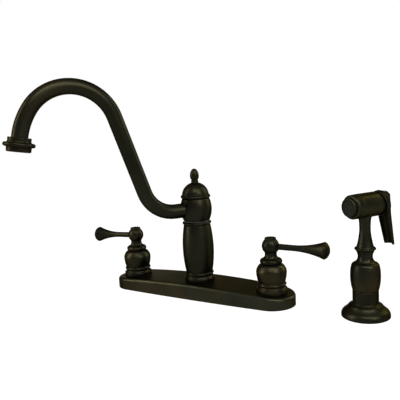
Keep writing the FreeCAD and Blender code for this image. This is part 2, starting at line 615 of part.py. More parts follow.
retainer_low = post_shoulder + 0.3
retainer_r = 12.6
retainer = ring(retainer_r, POST_THREAD_R + 0.05, retainer_low, retainer_low + 6.0)
for flat in (-1, 1):
    notch = Part.makeBox(3.0, 4.0, 3.0, V(flat * (retainer_r - 1.0) - 1.5, -2.0, retainer_low + 3.5))
    retainer = retainer.cut(notch)
pieces["hub_retainer_nut"] = retainer

dome_bore_r = hub_recess_r - 1.8
dome_foot = hub_top + 0.3
dome_centre_z = hub_top + 3.2
finial_stud_r = 2.6
dome_top_r = 5.2
dome_spring_z = dome_centre_z + 1.6
dome_spring_r = math.sqrt(DOME_R ** 2 - (dome_spring_z - dome_centre_z) ** 2)
dome_top_z = dome_centre_z + math.sqrt(DOME_R ** 2 - dome_top_r ** 2)
finial_seat = dome_top_z + 1.8
finial_top = finial_seat + FINIAL_LENGTH
dome_swell = DOME_R - math.hypot((dome_spring_r + dome_top_r) / 2,
                                 (dome_spring_z + dome_top_z) / 2 - dome_centre_z)
dome = turned([
    (dome_bore_r, post_shoulder + 0.5), (hub_recess_r - FIT, post_shoulder + 0.5),
    (hub_recess_r - FIT, dome_foot),
    (DOME_RIM_R - 1.6, dome_foot), (DOME_RIM_R - 1.2, dome_foot + 0.5),
    (DOME_RIM_R - 1.2, dome_foot + 4.0, 1.2), (dome_spring_r, dome_spring_z),
    (dome_top_r, dome_top_z, dome_swell), (4.5, dome_top_z + 0.7, -0.15),
    (4.5, finial_seat), (finial_stud_r, finial_seat), (finial_stud_r, dome_top_z - 3.2),
    (dome_bore_r, hub_top + 5.4, -2.8)])
pieces["dome_cap"] = dome
acorn_tip_r = 3.3
finial = turned([
    (0, dome_top_z - 3.0), (finial_stud_r, dome_top_z - 3.0), (finial_stud_r, finial_seat),
    (4.3, finial_seat), (4.3, finial_seat + 1.4, 0.35), (4.0, finial_seat + 2.0, -0.1),
    (5.0, finial_seat + 2.9, -0.15), (FINIAL_R - 0.65, finial_top - 5.1, 0.68),
    (acorn_tip_r, finial_top - 1.9, 0.22),
    (0, finial_top, dome_bow(acorn_tip_r, 1.9))])
pieces["finial"] = finial

# ---- sprayer holder ---------------------------------------------------------------------
holder_rim_r = HOLDER_FLANGE_R - 3.5
holder = turned([
    (HOLDER_BORE_R, -HOLDER_SHANK_LENGTH), (HOLDER_SHANK_R, -HOLDER_SHANK_LENGTH),
    (HOLDER_SHANK_R, HOLDER_SEAL_T), (holder_rim_r, HOLDER_SEAL_T), (holder_rim_r, 0.0),
    (HOLDER_FLANGE_R - 0.3, 0.0), (HOLDER_FLANGE_R, 0.5, 0.1), (HOLDER_FLANGE_R, 1.8),
    (22.7, 8.0, 0.95), (22.0, 8.6), (18.6, 12.2, -0.25), (17.7, 13.0, 0.15), (15.4, 14.5, -0.2),
    (HOLDER_CUP_R, 15.9, -0.25), (HOLDER_CUP_R, HOLDER_HEIGHT - 0.4), (HOLDER_CUP_R - 0.4, HOLDER_HEIGHT),
    (HOLDER_BORE_R + 0.5, HOLDER_HEIGHT), (HOLDER_BORE_R, HOLDER_HEIGHT - 0.8)])
holder_seal = ring(holder_rim_r - SHELL_CLEARANCE, HOLDER_SHANK_R + SHELL_CLEARANCE, 0, HOLDER_SEAL_T)
holder_washer = ring(HOLDER_WASHER_R, HOLDER_SHANK_R + WASHER_CLEARANCE, nut_top, -DECK_STOCK)
holder_nut = hexagon(HOLDER_NUT_ACROSS, nut_top - 7.0, nut_top)
holder_nut = holder_nut.cut(rod(HOLDER_SHANK_R + THREAD_CLEARANCE, nut_top - 8.0, nut_top + 1))
for name, shape in (("sprayer_holder", holder), ("holder_seal", holder_seal),
                    ("holder_washer", holder_washer), ("holder_nut", holder_nut)):
    pieces[name] = moved(shape, SPRAYER_X, SPRAYER_Y)

# ---- sprayer handle -----------------------------------------------------------------------
tail_low = grip_low - GRIP_TAIL_LENGTH
tail_r = HOLDER_BORE_R - GRIP_TAIL_GAP
socket_r = 5.5
waterway_r = 3.2
grip = turned([
    (waterway_r, tail_low), (tail_r - 0.8, tail_low), (tail_r, tail_low + 1.0),
    (tail_r, grip_low), (HOLDER_CUP_R, grip_low), (HOLDER_CUP_R + 0.4, grip_low + 1.0, 0.1),
    (GRIP_R - 1.2, grip_low + 2.9), (GRIP_R - 0.6, grip_low + 24.4, 0.95), (GRIP_R - 0.9, grip_low + 25.3),
    (GRIP_R - 1.0, grip_low + 25.9), (12.2, grip_low + 30.0, 0.7), (8.0, grip_low + 35.9, -0.95),
    (8.0, grip_low + 38.2, -0.1), (10.5, grip_top - 2.5, -0.35), (11.2, grip_top - 2.0),
    (11.2, grip_top - 0.6, 0.2), (10.6, grip_top), (socket_r, grip_top), (socket_r, grip_top - 6.5),
    (waterway_r, grip_top - 6.5)])
nipple_socket = rod(socket_r, tail_low - 1, tail_low + 8.0)
tenon_r = 4.0
tenon_bore_r = 2.4
tenon_top = head_z - 9.4
neck = turned([
    (waterway_r, grip_top - 6.2), (socket_r - 0.05, grip_top - 6.2), (socket_r - 0.05, grip_top),
    (9.7, grip_top), (9.1, grip_top + 1.1, -0.1), (6.0, head_z - 27.0, -0.45),
    (6.35, head_z - 16.0, -0.12), (7.4, head_z - 12.0, -0.1), (7.4, head_z - 9.5),
    (tenon_bore_r, head_z - 9.5), (tenon_bore_r, head_z - 22.5), (waterway_r, head_z - 24.5)])
head_cylinder = moved(along_x(rod(HEAD_R, -HEAD_SHOULDER, HEAD_SEAM)), z=head_z)
front_cylinder = moved(along_x(rod(HEAD_R - 0.2, HEAD_SEAM, HEAD_FRONT)), z=head_z)
tenon = ring(tenon_r, tenon_bore_r, head_z - 16.5, tenon_top)
neck = neck.cut(head_cylinder).cut(front_cylinder).fuse(tenon)
hose_nipple = turned([
    (2.2, 2.0), (HOSE_NIPPLE_R - 0.6, 2.0), (HOSE_NIPPLE_R, 2.6), (HOSE_NIPPLE_R, 8.8),
    (8.2, 8.8), (8.2, tail_low - 0.1), (socket_r - 0.05, tail_low - 0.1), (socket_r - 0.05, tail_low + 7.8),
    (2.2, tail_low + 7.8)])

# ---- sprayer head: built along +X with the nozzle ahead ------------------------------------
valve_bore_r = 2.9
register_t = 1.4            # step that centres the front cap in the head
spring_front = 4.2
spring_back = 15.0
cavity_back = 18.2


def lying(low, high, radius):
    """Cylinder on the head's axis between two distances ahead of the neck."""
    return along_x(rod(radius, low, high))


def lying_turned(outline):
    return along_x(turned(outline))


head = lying_turned([
    (valve_bore_r, -spring_front), (valve_bore_r, HEAD_SEAM - register_t - 0.1),
    (8.6, HEAD_SEAM - register_t - 0.1), (8.6, HEAD_SEAM),
    (HEAD_R - 0.35, HEAD_SEAM), (HEAD_R, HEAD_SEAM - 0.4), (HEAD_R, -HEAD_SHOULDER + 0.6),
    (HEAD_R - 0.6, -HEAD_SHOULDER), (spigot_r, -HEAD_SHOULDER), (spigot_r, -HEAD_REAR + 0.5),
    (spigot_r - 0.5, -HEAD_REAR), (PLUNGER_R + SHAFT_CLEARANCE, -HEAD_REAR),
    (PLUNGER_R + SHAFT_CLEARANCE, -cavity_back), (4.9, -cavity_back), (4.9, -spring_front)])
head = head.cut(rod(tenon_r + FIT, -HEAD_R - 1, tenon_top - head_z)).cut(rod(tenon_bore_r, -HEAD_R, 0))
pin_hole = spun(rod(TRIGGER_PIN_R + 0.02, -HEAD_R - 5, HEAD_R + 5), 90, axis=V(1, 0, 0))
pin_spot = V(-TRIGGER_PIN_BACK, 0, TRIGGER_PIN_UP)
head = head.cut(moved(pin_hole, pin_spot.x, 0, pin_spot.z))
front = lying_turned([
    (valve_bore_r, HEAD_SEAM - register_t), (8.5, HEAD_SEAM - register_t), (8.5, HEAD_SEAM),
    (HEAD_R - 0.55, HEAD_SEAM),
    (HEAD_R - 0.2, HEAD_SEAM + 0.4), (HEAD_R - 0.3, HEAD_FRONT - 2.2), (NOZZLE_R + 0.5, HEAD_FRONT, 0.6),
    (9.0, HEAD_FRONT), (9.0, HEAD_FRONT - 3.4), (6.0, HEAD_FRONT - 5.5), (valve_bore_r, HEAD_FRONT - 6.5)])
nozzle_ring = lying_turned([
    (FACE_R + 0.05, HEAD_FRONT - 3.3), (8.95, HEAD_FRONT - 3.3), (8.95, HEAD_FRONT),
    (NOZZLE_R - 0.1, HEAD_FRONT),
    (NOZZLE_R, HEAD_FRONT + 0.5), (NOZZLE_R, NOZZLE_FRONT - 1.0), (NOZZLE_R - 0.9, NOZZLE_FRONT, 0.25),
    (FACE_R - 0.2, NOZZLE_FRONT), (FACE_R - 0.2, NOZZLE_FRONT - 0.8), (FACE_R + 0.05, NOZZLE_FRONT - 0.8)])
spray_face = rod(FACE_R, HEAD_FRONT - 0.4, NOZZLE_FRONT - 0.9)
for circle, count in ((2.2, 6), (4.4, 12), (6.6, 18)):
    for hole in hole_circle(circle, count, 0.5, HEAD_FRONT - 1, NOZZLE_FRONT):
        spray_face = spray_face.cut(hole)
plunger_tip = TRIGGER_PIN_BACK + (TRIGGER_BACK - TRIGGER_WALL - TRIGGER_PIN_BACK) * math.cos(
    math.radians(TRIGGER_REST)) + TRIGGER_PIN_UP * math.sin(math.radians(TRIGGER_REST)) - 0.3
plunger = lying(-plunger_tip, 1.5, PLUNGER_R).fuse(lying(-spring_back - 1.8, -spring_back - 0.2, 4.5))
spring_pitch = (spring_back - spring_front - 2 * SPRING_WIRE_R - 0.2) / SPRING_TURNS
coil = Part.makeHelix(spring_pitch, spring_pitch * SPRING_TURNS, SPRING_R)
coil_start = Part.Wire(Part.Circle(V(SPRING_R, 0, 0), V(0, 1, 0), SPRING_WIRE_R).toShape())
spring = Part.Wire(coil.Edges).makePipeShell([coil_start], True, True)
spring = along_x(moved(spring, z=-spring_back + SPRING_WIRE_R + 0.1))

# The trigger's cup is shaped as it stands when pressed, then swung back to its rest.
cup = lying_turned([
    (0, -TRIGGER_BACK), (cup_r - 3.0, -TRIGGER_BACK), (cup_r, -TRIGGER_BACK + 3.0, -1.1),
    (cup_r, -TRIGGER_RIM), (0, -TRIGGER_RIM)])
barrel_room = lying(-TRIGGER_BACK + TRIGGER_WALL, 10, cup_bore_r)
# Its lever is shaped at rest, through round sections.


def lever_inside(wall):
    """Body through the lever's sections, each smaller by the wall."""
    wires = [Part.Wire(Part.Circle(V(-back, 0, high), UP, radius - wall).toShape())
             for high, back, radius in LEVER_SECTIONS]
    return Part.makeLoft(wires, True, True)


front_room = Part.makeBox(60, 40, 120, V(0, -20, -80))
front_room = moved(spun(front_room, LEVER_SLOPE, axis=V(0, 1, 0)), -LEVER_FRONT)
channel = lever_inside(TRIGGER_WALL).common(Part.makeBox(60, 40, 60, V(-60, -20, CHANNEL_TOP - 60)))
lever = lever_inside(0).cut(front_room)
trigger = lever.fuse(spun(cup, TRIGGER_REST, pin_spot, V(0, 1, 0))).cut(channel)
trigger = trigger.cut(spun(barrel_room, TRIGGER_REST, pin_spot, V(0, 1, 0)))
trigger = trigger.cut(moved(pin_hole, pin_spot.x, 0, pin_spot.z)).removeSplitter()
pin_reach = math.sqrt(cup_r ** 2 - TRIGGER_PIN_UP ** 2) - 0.2
trigger_pin = spun(rod(TRIGGER_PIN_R, -pin_reach, pin_reach), 90, axis=V(1, 0, 0))
trigger_pin = moved(trigger_pin, pin_spot.x, 0, pin_spot.z)

for name, shape in (("sprayer_grip", grip.cut(nipple_socket)), ("sprayer_neck", neck),
                    ("hose_nipple", hose_nipple)):
    pieces[name] = moved(spun(shape, -90 - HEAD_TURN), SPRAYER_X, SPRAYER_Y)
for name, shape in (("sprayer_head", head), ("sprayer_front_cap", front), ("nozzle_ring", nozzle_ring),
                    ("spray_face", along_x(spray_face)), ("trigger_plunger", plunger),
                    ("plunger_spring", spring), ("trigger", trigger), ("trigger_pin", trigger_pin)):
    pieces[name] = moved(spun(shape, -90 - HEAD_TURN), SPRAYER_X, SPRAYER_Y, head_z)

os.makedirs("parts", exist_ok=True)
for name, shape in pieces.items():
    shape.exportStep("parts/" + name + ".step")
print(len(pieces), "pieces")
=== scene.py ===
import math
import bpy
from mathutils import Matrix, Vector


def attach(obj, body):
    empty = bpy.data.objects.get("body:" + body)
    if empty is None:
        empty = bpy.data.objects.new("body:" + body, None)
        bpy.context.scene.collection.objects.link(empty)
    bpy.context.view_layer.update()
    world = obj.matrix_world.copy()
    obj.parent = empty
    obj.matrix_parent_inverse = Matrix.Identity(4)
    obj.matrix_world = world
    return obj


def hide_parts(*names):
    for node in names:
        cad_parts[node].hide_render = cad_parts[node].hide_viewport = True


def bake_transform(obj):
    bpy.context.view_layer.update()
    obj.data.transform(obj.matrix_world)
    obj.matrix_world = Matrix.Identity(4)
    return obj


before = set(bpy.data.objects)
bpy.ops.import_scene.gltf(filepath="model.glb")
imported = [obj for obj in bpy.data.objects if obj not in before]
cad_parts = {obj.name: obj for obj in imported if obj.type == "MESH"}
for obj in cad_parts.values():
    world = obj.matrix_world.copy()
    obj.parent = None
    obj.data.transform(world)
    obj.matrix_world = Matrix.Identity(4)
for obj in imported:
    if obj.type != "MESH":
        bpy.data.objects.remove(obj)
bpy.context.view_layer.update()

# ---- camera ------------------------------------------------------------------------------
# Stands to the right of the faucet and a little above it, about 70 cm away, and
# is tipped by three degrees, so that the deck plate runs down to the right.
camera = bpy.data.objects.new("camera", bpy.data.cameras.new("camera"))
bpy.context.scene.collection.objects.link(camera)
bpy.context.scene.camera = camera
CAMERA_PLACE = Vector((0.3671, -0.5655, 0.2194))
CAMERA_TURN, CAMERA_DROP, CAMERA_TIP = math.radians(32.526), math.radians(8.220), math.radians(-3.111)
camera.data.sensor_width = 36.0
camera.data.lens = 48.35
camera.data.clip_start = 0.01
camera.matrix_world = (Matrix.Translation(CAMERA_PLACE) @ Matrix.Rotation(CAMERA_TURN, 4, "Z")
                       @ Matrix.Rotation(math.pi / 2 - CAMERA_DROP, 4, "X")
                       @ Matrix.Rotation(CAMERA_TIP, 4, "Z"))
bpy.context.scene.view_settings.view_transform = "Standard"


# ---- counter and studio ------------------------------------------------------------------
# A white counter top that the faucet stands on, before a white sweep, with soft
# boxes: a tall one on each side, one overhead towards the front and one behind.
def add_node(tree, kind, values=(), links=(), **settings):
    """A node with its settings, its fixed values and the sockets that feed it."""
    node = tree.nodes.new(kind)
    for key, value in settings.items():
        setattr(node, key, value)
    for key, value in values:
        node.inputs[key].default_value = value
    for key, source in links:
        tree.links.new(source, node.inputs[key])
    return node


def seen_white(tree, surface, glow_kind, target, share, strength=1.0):
    """Mixes a white glow over a shader: this share of it for rays of the eye and of glass.

    Gives back the socket that takes the share for rays of gloss.
    """
    path = add_node(tree, "ShaderNodeLightPath")
    eye = add_node(tree, "ShaderNodeMath", operation="MAXIMUM",
                   links=((0, path.outputs["Is Camera Ray"]), (1, path.outputs["Is Transmission Ray"])))
    eye = add_node(tree, "ShaderNodeMath", operation="MULTIPLY", values=((1, share),),
                   links=((0, eye.outputs[0]),))
    gloss = add_node(tree, "ShaderNodeMath", operation="MULTIPLY",
                     links=((0, path.outputs["Is Glossy Ray"]),))
    seen = add_node(tree, "ShaderNodeMath", operation="MAXIMUM",
                    links=((0, eye.outputs[0]), (1, gloss.outputs[0])))
    glow = add_node(tree, glow_kind, values=(("Color", (1, 1, 1, 1)), ("Strength", strength)))
    mix = add_node(tree, "ShaderNodeMixShader",
                   links=((0, seen.outputs[0]), (1, surface.outputs[0]), (2, glow.outputs[0])))
    tree.links.new(mix.outputs[0], target.inputs["Surface"])
    return gloss.inputs[1]


world = bpy.data.worlds.new("studio")
bpy.context.scene.world = world
world.use_nodes = True
sky = world.node_tree.nodes["Background"]
sky.inputs["Color"].default_value = (0.93, 0.97, 1.0, 1.0)
sky.inputs["Strength"].default_value = 0.50
SWEEP_SIDE = Vector((-0.53, 0.83, 0.10)).normalized()
looks = add_node(world.node_tree, "ShaderNodeTexCoord")
towards_sweep = add_node(world.node_tree, "ShaderNodeVectorMath", operation="DOT_PRODUCT",
                         values=((1, SWEEP_SIDE),), links=((0, looks.outputs["Generated"]),))
sweep_share = add_node(world.node_tree, "ShaderNodeMapRange",
                       values=(("From Min", -0.5), ("From Max", 0.6), ("To Min", 0.22), ("To Max", 1.0)),
                       links=(("Value", towards_sweep.outputs["Value"]),))
gloss_share = seen_white(world.node_tree, sky, "ShaderNodeBackground",
                         world.node_tree.nodes["World Output"], 1.0)
world.node_tree.links.new(sweep_share.outputs["Result"], gloss_share)

counter_finish = bpy.data.materials.new("counter_white")
counter_finish.use_nodes = True
matt = counter_finish.node_tree.nodes["Principled BSDF"]
matt.inputs["Base Color"].default_value = (0.95, 0.95, 0.95, 1.0)
matt.inputs["Roughness"].default_value = 0.9
gloss_share = seen_white(counter_finish.node_tree, matt, "ShaderNodeEmission",
                         counter_finish.node_tree.nodes["Material Output"], 0.88, strength=1.07)
gloss_share.default_value = 0.8
counter_mesh = bpy.data.meshes.new("counter")
REACH = 6.0
counter_mesh.from_pydata([(-REACH, -REACH, 0), (REACH, -REACH, 0), (REACH, REACH, 0), (-REACH, REACH, 0)],
                         [], [(0, 1, 2, 3)])
counter_mesh.materials.append(counter_finish)
counter = bpy.data.objects.new("counter", counter_mesh)
bpy.context.scene.collection.objects.link(counter)

AIMED_AT = Vector((0.03, 0, 0.1))
for name, place, width, height, power, tint in (
        ("left_box", (-1.00, -0.85, 0.60), 0.30, 1.20, 18.0, (1.0, 0.97, 0.90)),
        ("right_box", (1.05, -0.42, 0.85), 0.45, 0.70, 13.0, (1.0, 0.97, 0.90)),
        ("top_box", (0.45, -0.75, 1.15), 0.70, 0.35, 11.0, (1.0, 0.98, 0.93)),
        ("back_box", (0.75, 0.95, 0.60), 0.25, 1.00, 12.0, (1.0, 0.99, 0.96))):
    lamp = bpy.data.lights.new(name, "AREA")
    lamp.shape = "RECTANGLE"
    lamp.size, lamp.size_y = width, height
    lamp.energy = power
    lamp.color = tint
    box = bpy.data.objects.new(name, lamp)
    aim = (Vector(place) - AIMED_AT).to_track_quat("Z", "Y")
    box.matrix_world = Matrix.Translation(place) @ aim.to_matrix().to_4x4()
    bpy.context.scene.collection.objects.link(box)

# ---- deck plate --------------------------------------------------------------------------
# Cast brass cover over both valves, ground smooth, then chemically blackened and
# oiled: nearly black in its hollows, partly patina and partly painted shade, a dull olive
# on its faces, and rubbed to a golden brown along its edges. It lies on the counter and
# the bells hold it down.
FLOAT, COLOR, VECTOR = "NodeSocketFloat", "NodeSocketColor", "NodeSocketVector"


def new_group(name, inputs, outputs):
    """An empty shader group with these sockets: (name, kind, value)."""
    group = bpy.data.node_groups.new(name, "ShaderNodeTree")
    for label, kind, value in inputs:
        socket = group.interface.new_socket(label, in_out="INPUT", socket_type=kind)
        if value is not None:
            socket.default_value = value
    for label, kind in outputs:
        group.interface.new_socket(label, in_out="OUTPUT", socket_type=kind)
    return group, group.nodes.new("NodeGroupInput"), group.nodes.new("NodeGroupOutput")


# Edge wear: where the surface turns sharply within the radius, broken up by noise. It also
# puts out the normal of the edge as if it were slightly rounded.
edge_wear, given, gives = new_group(
    "edge_wear", (("Vector", VECTOR, None), ("Radius", FLOAT, 0.0005), ("Spread", FLOAT, 0.5),
                  ("Grain", FLOAT, 400.0)),
    (("Wear", FLOAT), ("Normal", VECTOR)))
rounded = add_node(edge_wear, "ShaderNodeBevel", links=(("Radius", given.outputs["Radius"]),), samples=6)
true_side = add_node(edge_wear, "ShaderNodeNewGeometry")
facing = add_node(edge_wear, "ShaderNodeVectorMath", operation="DOT_PRODUCT",
                  links=((0, rounded.outputs[0]), (1, true_side.outputs["Normal"])))
turning = add_node(edge_wear, "ShaderNodeMath", operation="SUBTRACT", values=((0, 1.0),),
                   links=((1, facing.outputs["Value"]),))
rubs = add_node(edge_wear, "ShaderNodeTexNoise", values=(("Detail", 4.0), ("Roughness", 0.6)),
                links=(("Vector", given.outputs["Vector"]), ("Scale", given.outputs["Grain"])))
rubs_level = add_node(edge_wear, "ShaderNodeMapRange",
                      values=(("From Min", 0.38), ("From Max", 0.66), ("To Min", 0.2), ("To Max", 1.0)),
                      links=(("Value", rubs.outputs["Fac"]),))
edges = add_node(edge_wear, "ShaderNodeMapRange", values=(("From Min", 0.02), ("From Max", 0.18)),
                 links=(("Value", turning.outputs[0]),))
worn = add_node(edge_wear, "ShaderNodeMath", operation="MULTIPLY",
                links=((0, edges.outputs["Result"]), (1, rubs_level.outputs["Result"])))
worn = add_node(edge_wear, "ShaderNodeMath", operation="MULTIPLY", use_clamp=True,
                links=((0, worn.outputs[0]), (1, given.outputs["Spread"])))
edge_wear.links.new(worn.outputs[0], gives.inputs["Wear"])
edge_wear.links.new(rounded.outputs[0], gives.inputs["Normal"])

# Hollows: how deep a place sits in a groove or corner of its own piece. The patina darkens there, partly as
# the real patina of an oil-rubbed finish and partly as painted shade.
hollow_patina_and_shade, given, gives = new_group("hollow_patina_and_shade", (("Depth", FLOAT, 0.004),), (("Hollow", FLOAT),))
open_share = add_node(hollow_patina_and_shade, "ShaderNodeAmbientOcclusion", links=(("Distance", given.outputs["Depth"]),),
                      samples=6, only_local=True)
hollow_level = add_node(hollow_patina_and_shade, "ShaderNodeMapRange",
                        values=(("From Min", 0.92), ("From Max", 0.35)),
                        links=(("Value", open_share.outputs["AO"]),))
hollow_patina_and_shade.links.new(hollow_level.outputs["Result"], gives.inputs["Hollow"])

# Patina: faint clouds of olive and warm brown over the dark skin, hollows darkened partly by real patina
# and partly as painted shade, rubbed edges, and the fine satin that the buffing wheel left.
patina, given, gives = new_group(
    "patina", (("Vector", VECTOR, None), ("Dark", COLOR, None), ("Olive", COLOR, None), ("Warm", COLOR, None),
               ("Worn", COLOR, None), ("Wear", FLOAT, 0.0), ("Hollow", FLOAT, 0.0), ("Cloud", FLOAT, 30.0),
               ("Warmth", FLOAT, 0.5)),
    (("Color", COLOR), ("Roughness", FLOAT), ("Height", FLOAT)))
cloud = add_node(patina, "ShaderNodeTexNoise",
                 values=(("Detail", 3.0), ("Roughness", 0.5), ("Distortion", 0.4)),
                 links=(("Vector", given.outputs["Vector"]), ("Scale", given.outputs["Cloud"])))
warm_scale = add_node(patina, "ShaderNodeMath", operation="MULTIPLY", values=((1, 0.43),),
                      links=((0, given.outputs["Cloud"]),))
warm_cloud = add_node(patina, "ShaderNodeTexNoise", values=(("Detail", 2.0), ("Distortion", 0.8)),
                      links=(("Vector", given.outputs["Vector"]), ("Scale", warm_scale.outputs[0])))
cloud_level = add_node(patina, "ShaderNodeMapRange", values=(("From Min", 0.30), ("From Max", 0.70)),
                       links=(("Value", cloud.outputs["Fac"]),))
warm_level = add_node(patina, "ShaderNodeMapRange", values=(("From Min", 0.42), ("From Max", 0.70)),
                      links=(("Value", warm_cloud.outputs["Fac"]),))
warm_part = add_node(patina, "ShaderNodeMath", operation="MULTIPLY", use_clamp=True,
                     links=((0, warm_level.outputs["Result"]), (1, given.outputs["Warmth"])))
skin = add_node(patina, "ShaderNodeMix", data_type="RGBA",
                links=((0, cloud_level.outputs["Result"]), (6, given.outputs["Dark"]),
                       (7, given.outputs["Olive"])))
skin = add_node(patina, "ShaderNodeMix", data_type="RGBA",
                links=((0, warm_part.outputs[0]), (6, skin.outputs[2]), (7, given.outputs["Warm"])))
# Multiplies the skin darker in hollows: partly real patina, partly painted shade.
black = add_node(patina, "ShaderNodeMix", data_type="RGBA", blend_type="MULTIPLY",
                 values=((7, (0.28, 0.26, 0.24, 1)),),
                 links=((0, given.outputs["Hollow"]), (6, skin.outputs[2])))
rubbed = add_node(patina, "ShaderNodeMix", data_type="RGBA",
                  links=((0, given.outputs["Wear"]), (6, black.outputs[2]), (7, given.outputs["Worn"])))
patina.links.new(rubbed.outputs[2], gives.inputs["Color"])
satin = add_node(patina, "ShaderNodeTexNoise",
                 values=(("Scale", 2600.0), ("Detail", 3.0), ("Roughness", 0.7)),
                 links=(("Vector", given.outputs["Vector"]),))
rough = add_node(patina, "ShaderNodeMapRange", values=(("To Min", 0.30), ("To Max", 0.40)),
                 links=(("Value", cloud.outputs["Fac"]),))
for share, source in ((0.06, satin.outputs["Fac"]), (0.16, given.outputs["Hollow"]),
                      (-0.08, given.outputs["Wear"])):
    rough = add_node(patina, "ShaderNodeMath", operation="MULTIPLY_ADD", values=((1, share),),
                     links=((0, source), (2, rough.outputs[0])))
patina.links.new(rough.outputs[0], gives.inputs["Roughness"])
patina.links.new(satin.outputs["Fac"], gives.inputs["Height"])

BRONZE_DARK = (0.0085, 0.0086, 0.0054)
BRONZE_OLIVE = (0.0150, 0.0152, 0.0098)
BRONZE_WARM = (0.0270, 0.0190, 0.0085)
BRONZE_WORN = (0.120, 0.078, 0.034)


def new_finish(name):
    """A material, its tree and the place on the piece that its patterns follow."""
    finish = bpy.data.materials.new(name)
    finish.use_nodes = True
    return finish, finish.node_tree, add_node(finish.node_tree, "ShaderNodeTexCoord").outputs["Object"]


def feed_shader(tree, tone, bump):
    """Feeds the shader with a group's colour and roughness and with the bump, and gives it back."""
    shader = tree.nodes["Principled BSDF"]
    tree.links.new(tone.outputs["Color"], shader.inputs["Base Color"])
    tree.links.new(tone.outputs["Roughness"], shader.inputs["Roughness"])
    tree.links.new(bump.outputs[0], shader.inputs["Normal"])
    return shader


def bronze_finish(name, cloud, warmth, wear, painted_brightness=1.0, depth=0.0045):
    """Oil-rubbed bronze: the three groups feed one metal shader, and its tones are scaled by a brightness for
    each piece, which paints light and shade onto the same finish.
    """
    finish, tree, place = new_finish(name)
    wearing = add_node(tree, "ShaderNodeGroup", node_tree=edge_wear, links=(("Vector", place),),
                       values=(("Radius", 0.0005), ("Spread", wear), ("Grain", 420.0)))
    sunk = add_node(tree, "ShaderNodeGroup", node_tree=hollow_patina_and_shade, values=(("Depth", depth),))
    tones = [(label, (*(painted_brightness * part for part in tone), 1)) for label, tone in (
        ("Dark", BRONZE_DARK), ("Olive", BRONZE_OLIVE), ("Warm", BRONZE_WARM), ("Worn", BRONZE_WORN))]
    tone = add_node(tree, "ShaderNodeGroup", node_tree=patina,
                    values=tones + [("Cloud", cloud), ("Warmth", warmth)],
                    links=(("Vector", place), ("Wear", wearing.outputs["Wear"]),
                           ("Hollow", sunk.outputs["Hollow"])))
    bump = add_node(tree, "ShaderNodeBump", values=(("Strength", 0.05), ("Distance", 0.0002)),
                    links=(("Height", tone.outputs["Height"]), ("Normal", wearing.outputs["Normal"])))
    shader = feed_shader(tree, tone, bump)
    shader.inputs["Metallic"].default_value = 1.0
    shader.inputs["Specular Tint"].default_value = (0.42, 0.41, 0.37, 1)
    return finish


def finish_nodes(finish, *names):
    """Gives this finish to CAD nodes."""
    for name in names:
        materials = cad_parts[name].data.materials
        materials.clear()
        materials.append(finish)


# The deck plate's bronze tones are painted 1.35 times brighter: painted light.
finish_nodes(bronze_finish("deck_bronze", cloud=14.0, warmth=0.8, wear=0.45, painted_brightness=1.35), "deck_plate")

# ---- gasket, under plate and seals -------------------------------------------------------
# The deck plate is closed below by a moulded acetal plate and sealed to the counter
# by a flat black rubber rim. The sprayer's holder has a rubber disc of its own.
speckle, given, gives = new_group(
    "speckle", (("Vector", VECTOR, None), ("Base", COLOR, None), ("Fleck", COLOR, None),
                ("Size", FLOAT, 900.0), ("Low", FLOAT, 0.5), ("High", FLOAT, 0.7)),
    (("Color", COLOR), ("Roughness", FLOAT), ("Height", FLOAT)))
fleck = add_node(speckle, "ShaderNodeTexNoise", values=(("Detail", 4.0), ("Roughness", 0.65)),
                 links=(("Vector", given.outputs["Vector"]), ("Scale", given.outputs["Size"])))
fleck_level = add_node(speckle, "ShaderNodeMapRange", values=(("From Min", 0.42), ("From Max", 0.72)),
                       links=(("Value", fleck.outputs["Fac"]),))
flecked = add_node(speckle, "ShaderNodeMix", data_type="RGBA",
                   links=((0, fleck_level.outputs["Result"]), (6, given.outputs["Base"]),
                          (7, given.outputs["Fleck"])))
fleck_rough = add_node(speckle, "ShaderNodeMapRange",
                       links=(("Value", fleck.outputs["Fac"]), ("To Min", given.outputs["Low"]),
                              ("To Max", given.outputs["High"])))
speckle.links.new(flecked.outputs[2], gives.inputs["Color"])
speckle.links.new(fleck_rough.outputs["Result"], gives.inputs["Roughness"])
speckle.links.new(fleck.outputs["Fac"], gives.inputs["Height"])


def moulded_finish(name, base, fleck, low, high, size=900.0, relief=0.15):
    """A moulded plastic or rubber with a fine fleck."""
    finish, tree, place = new_finish(name)
    grain = add_node(tree, "ShaderNodeGroup", node_tree=speckle, links=(("Vector", place),),
                     values=(("Base", (*base, 1)), ("Fleck", (*fleck, 1)), ("Size", size),
                             ("Low", low), ("High", high)))
    bump = add_node(tree, "ShaderNodeBump", values=(("Strength", relief), ("Distance", 0.0001)),
                    links=(("Height", grain.outputs["Height"]),))
    feed_shader(tree, grain, bump)
    return finish


rubber = moulded_finish("black_rubber", (0.010, 0.010, 0.011), (0.022, 0.021, 0.020), 0.62, 0.85, relief=0.3)
acetal = moulded_finish("white_acetal", (0.62, 0.61, 0.57), (0.70, 0.69, 0.66), 0.34, 0.48, size=420.0)
finish_nodes(rubber, "deck_gasket", "holder_seal")
finish_nodes(acetal, "under_plate")

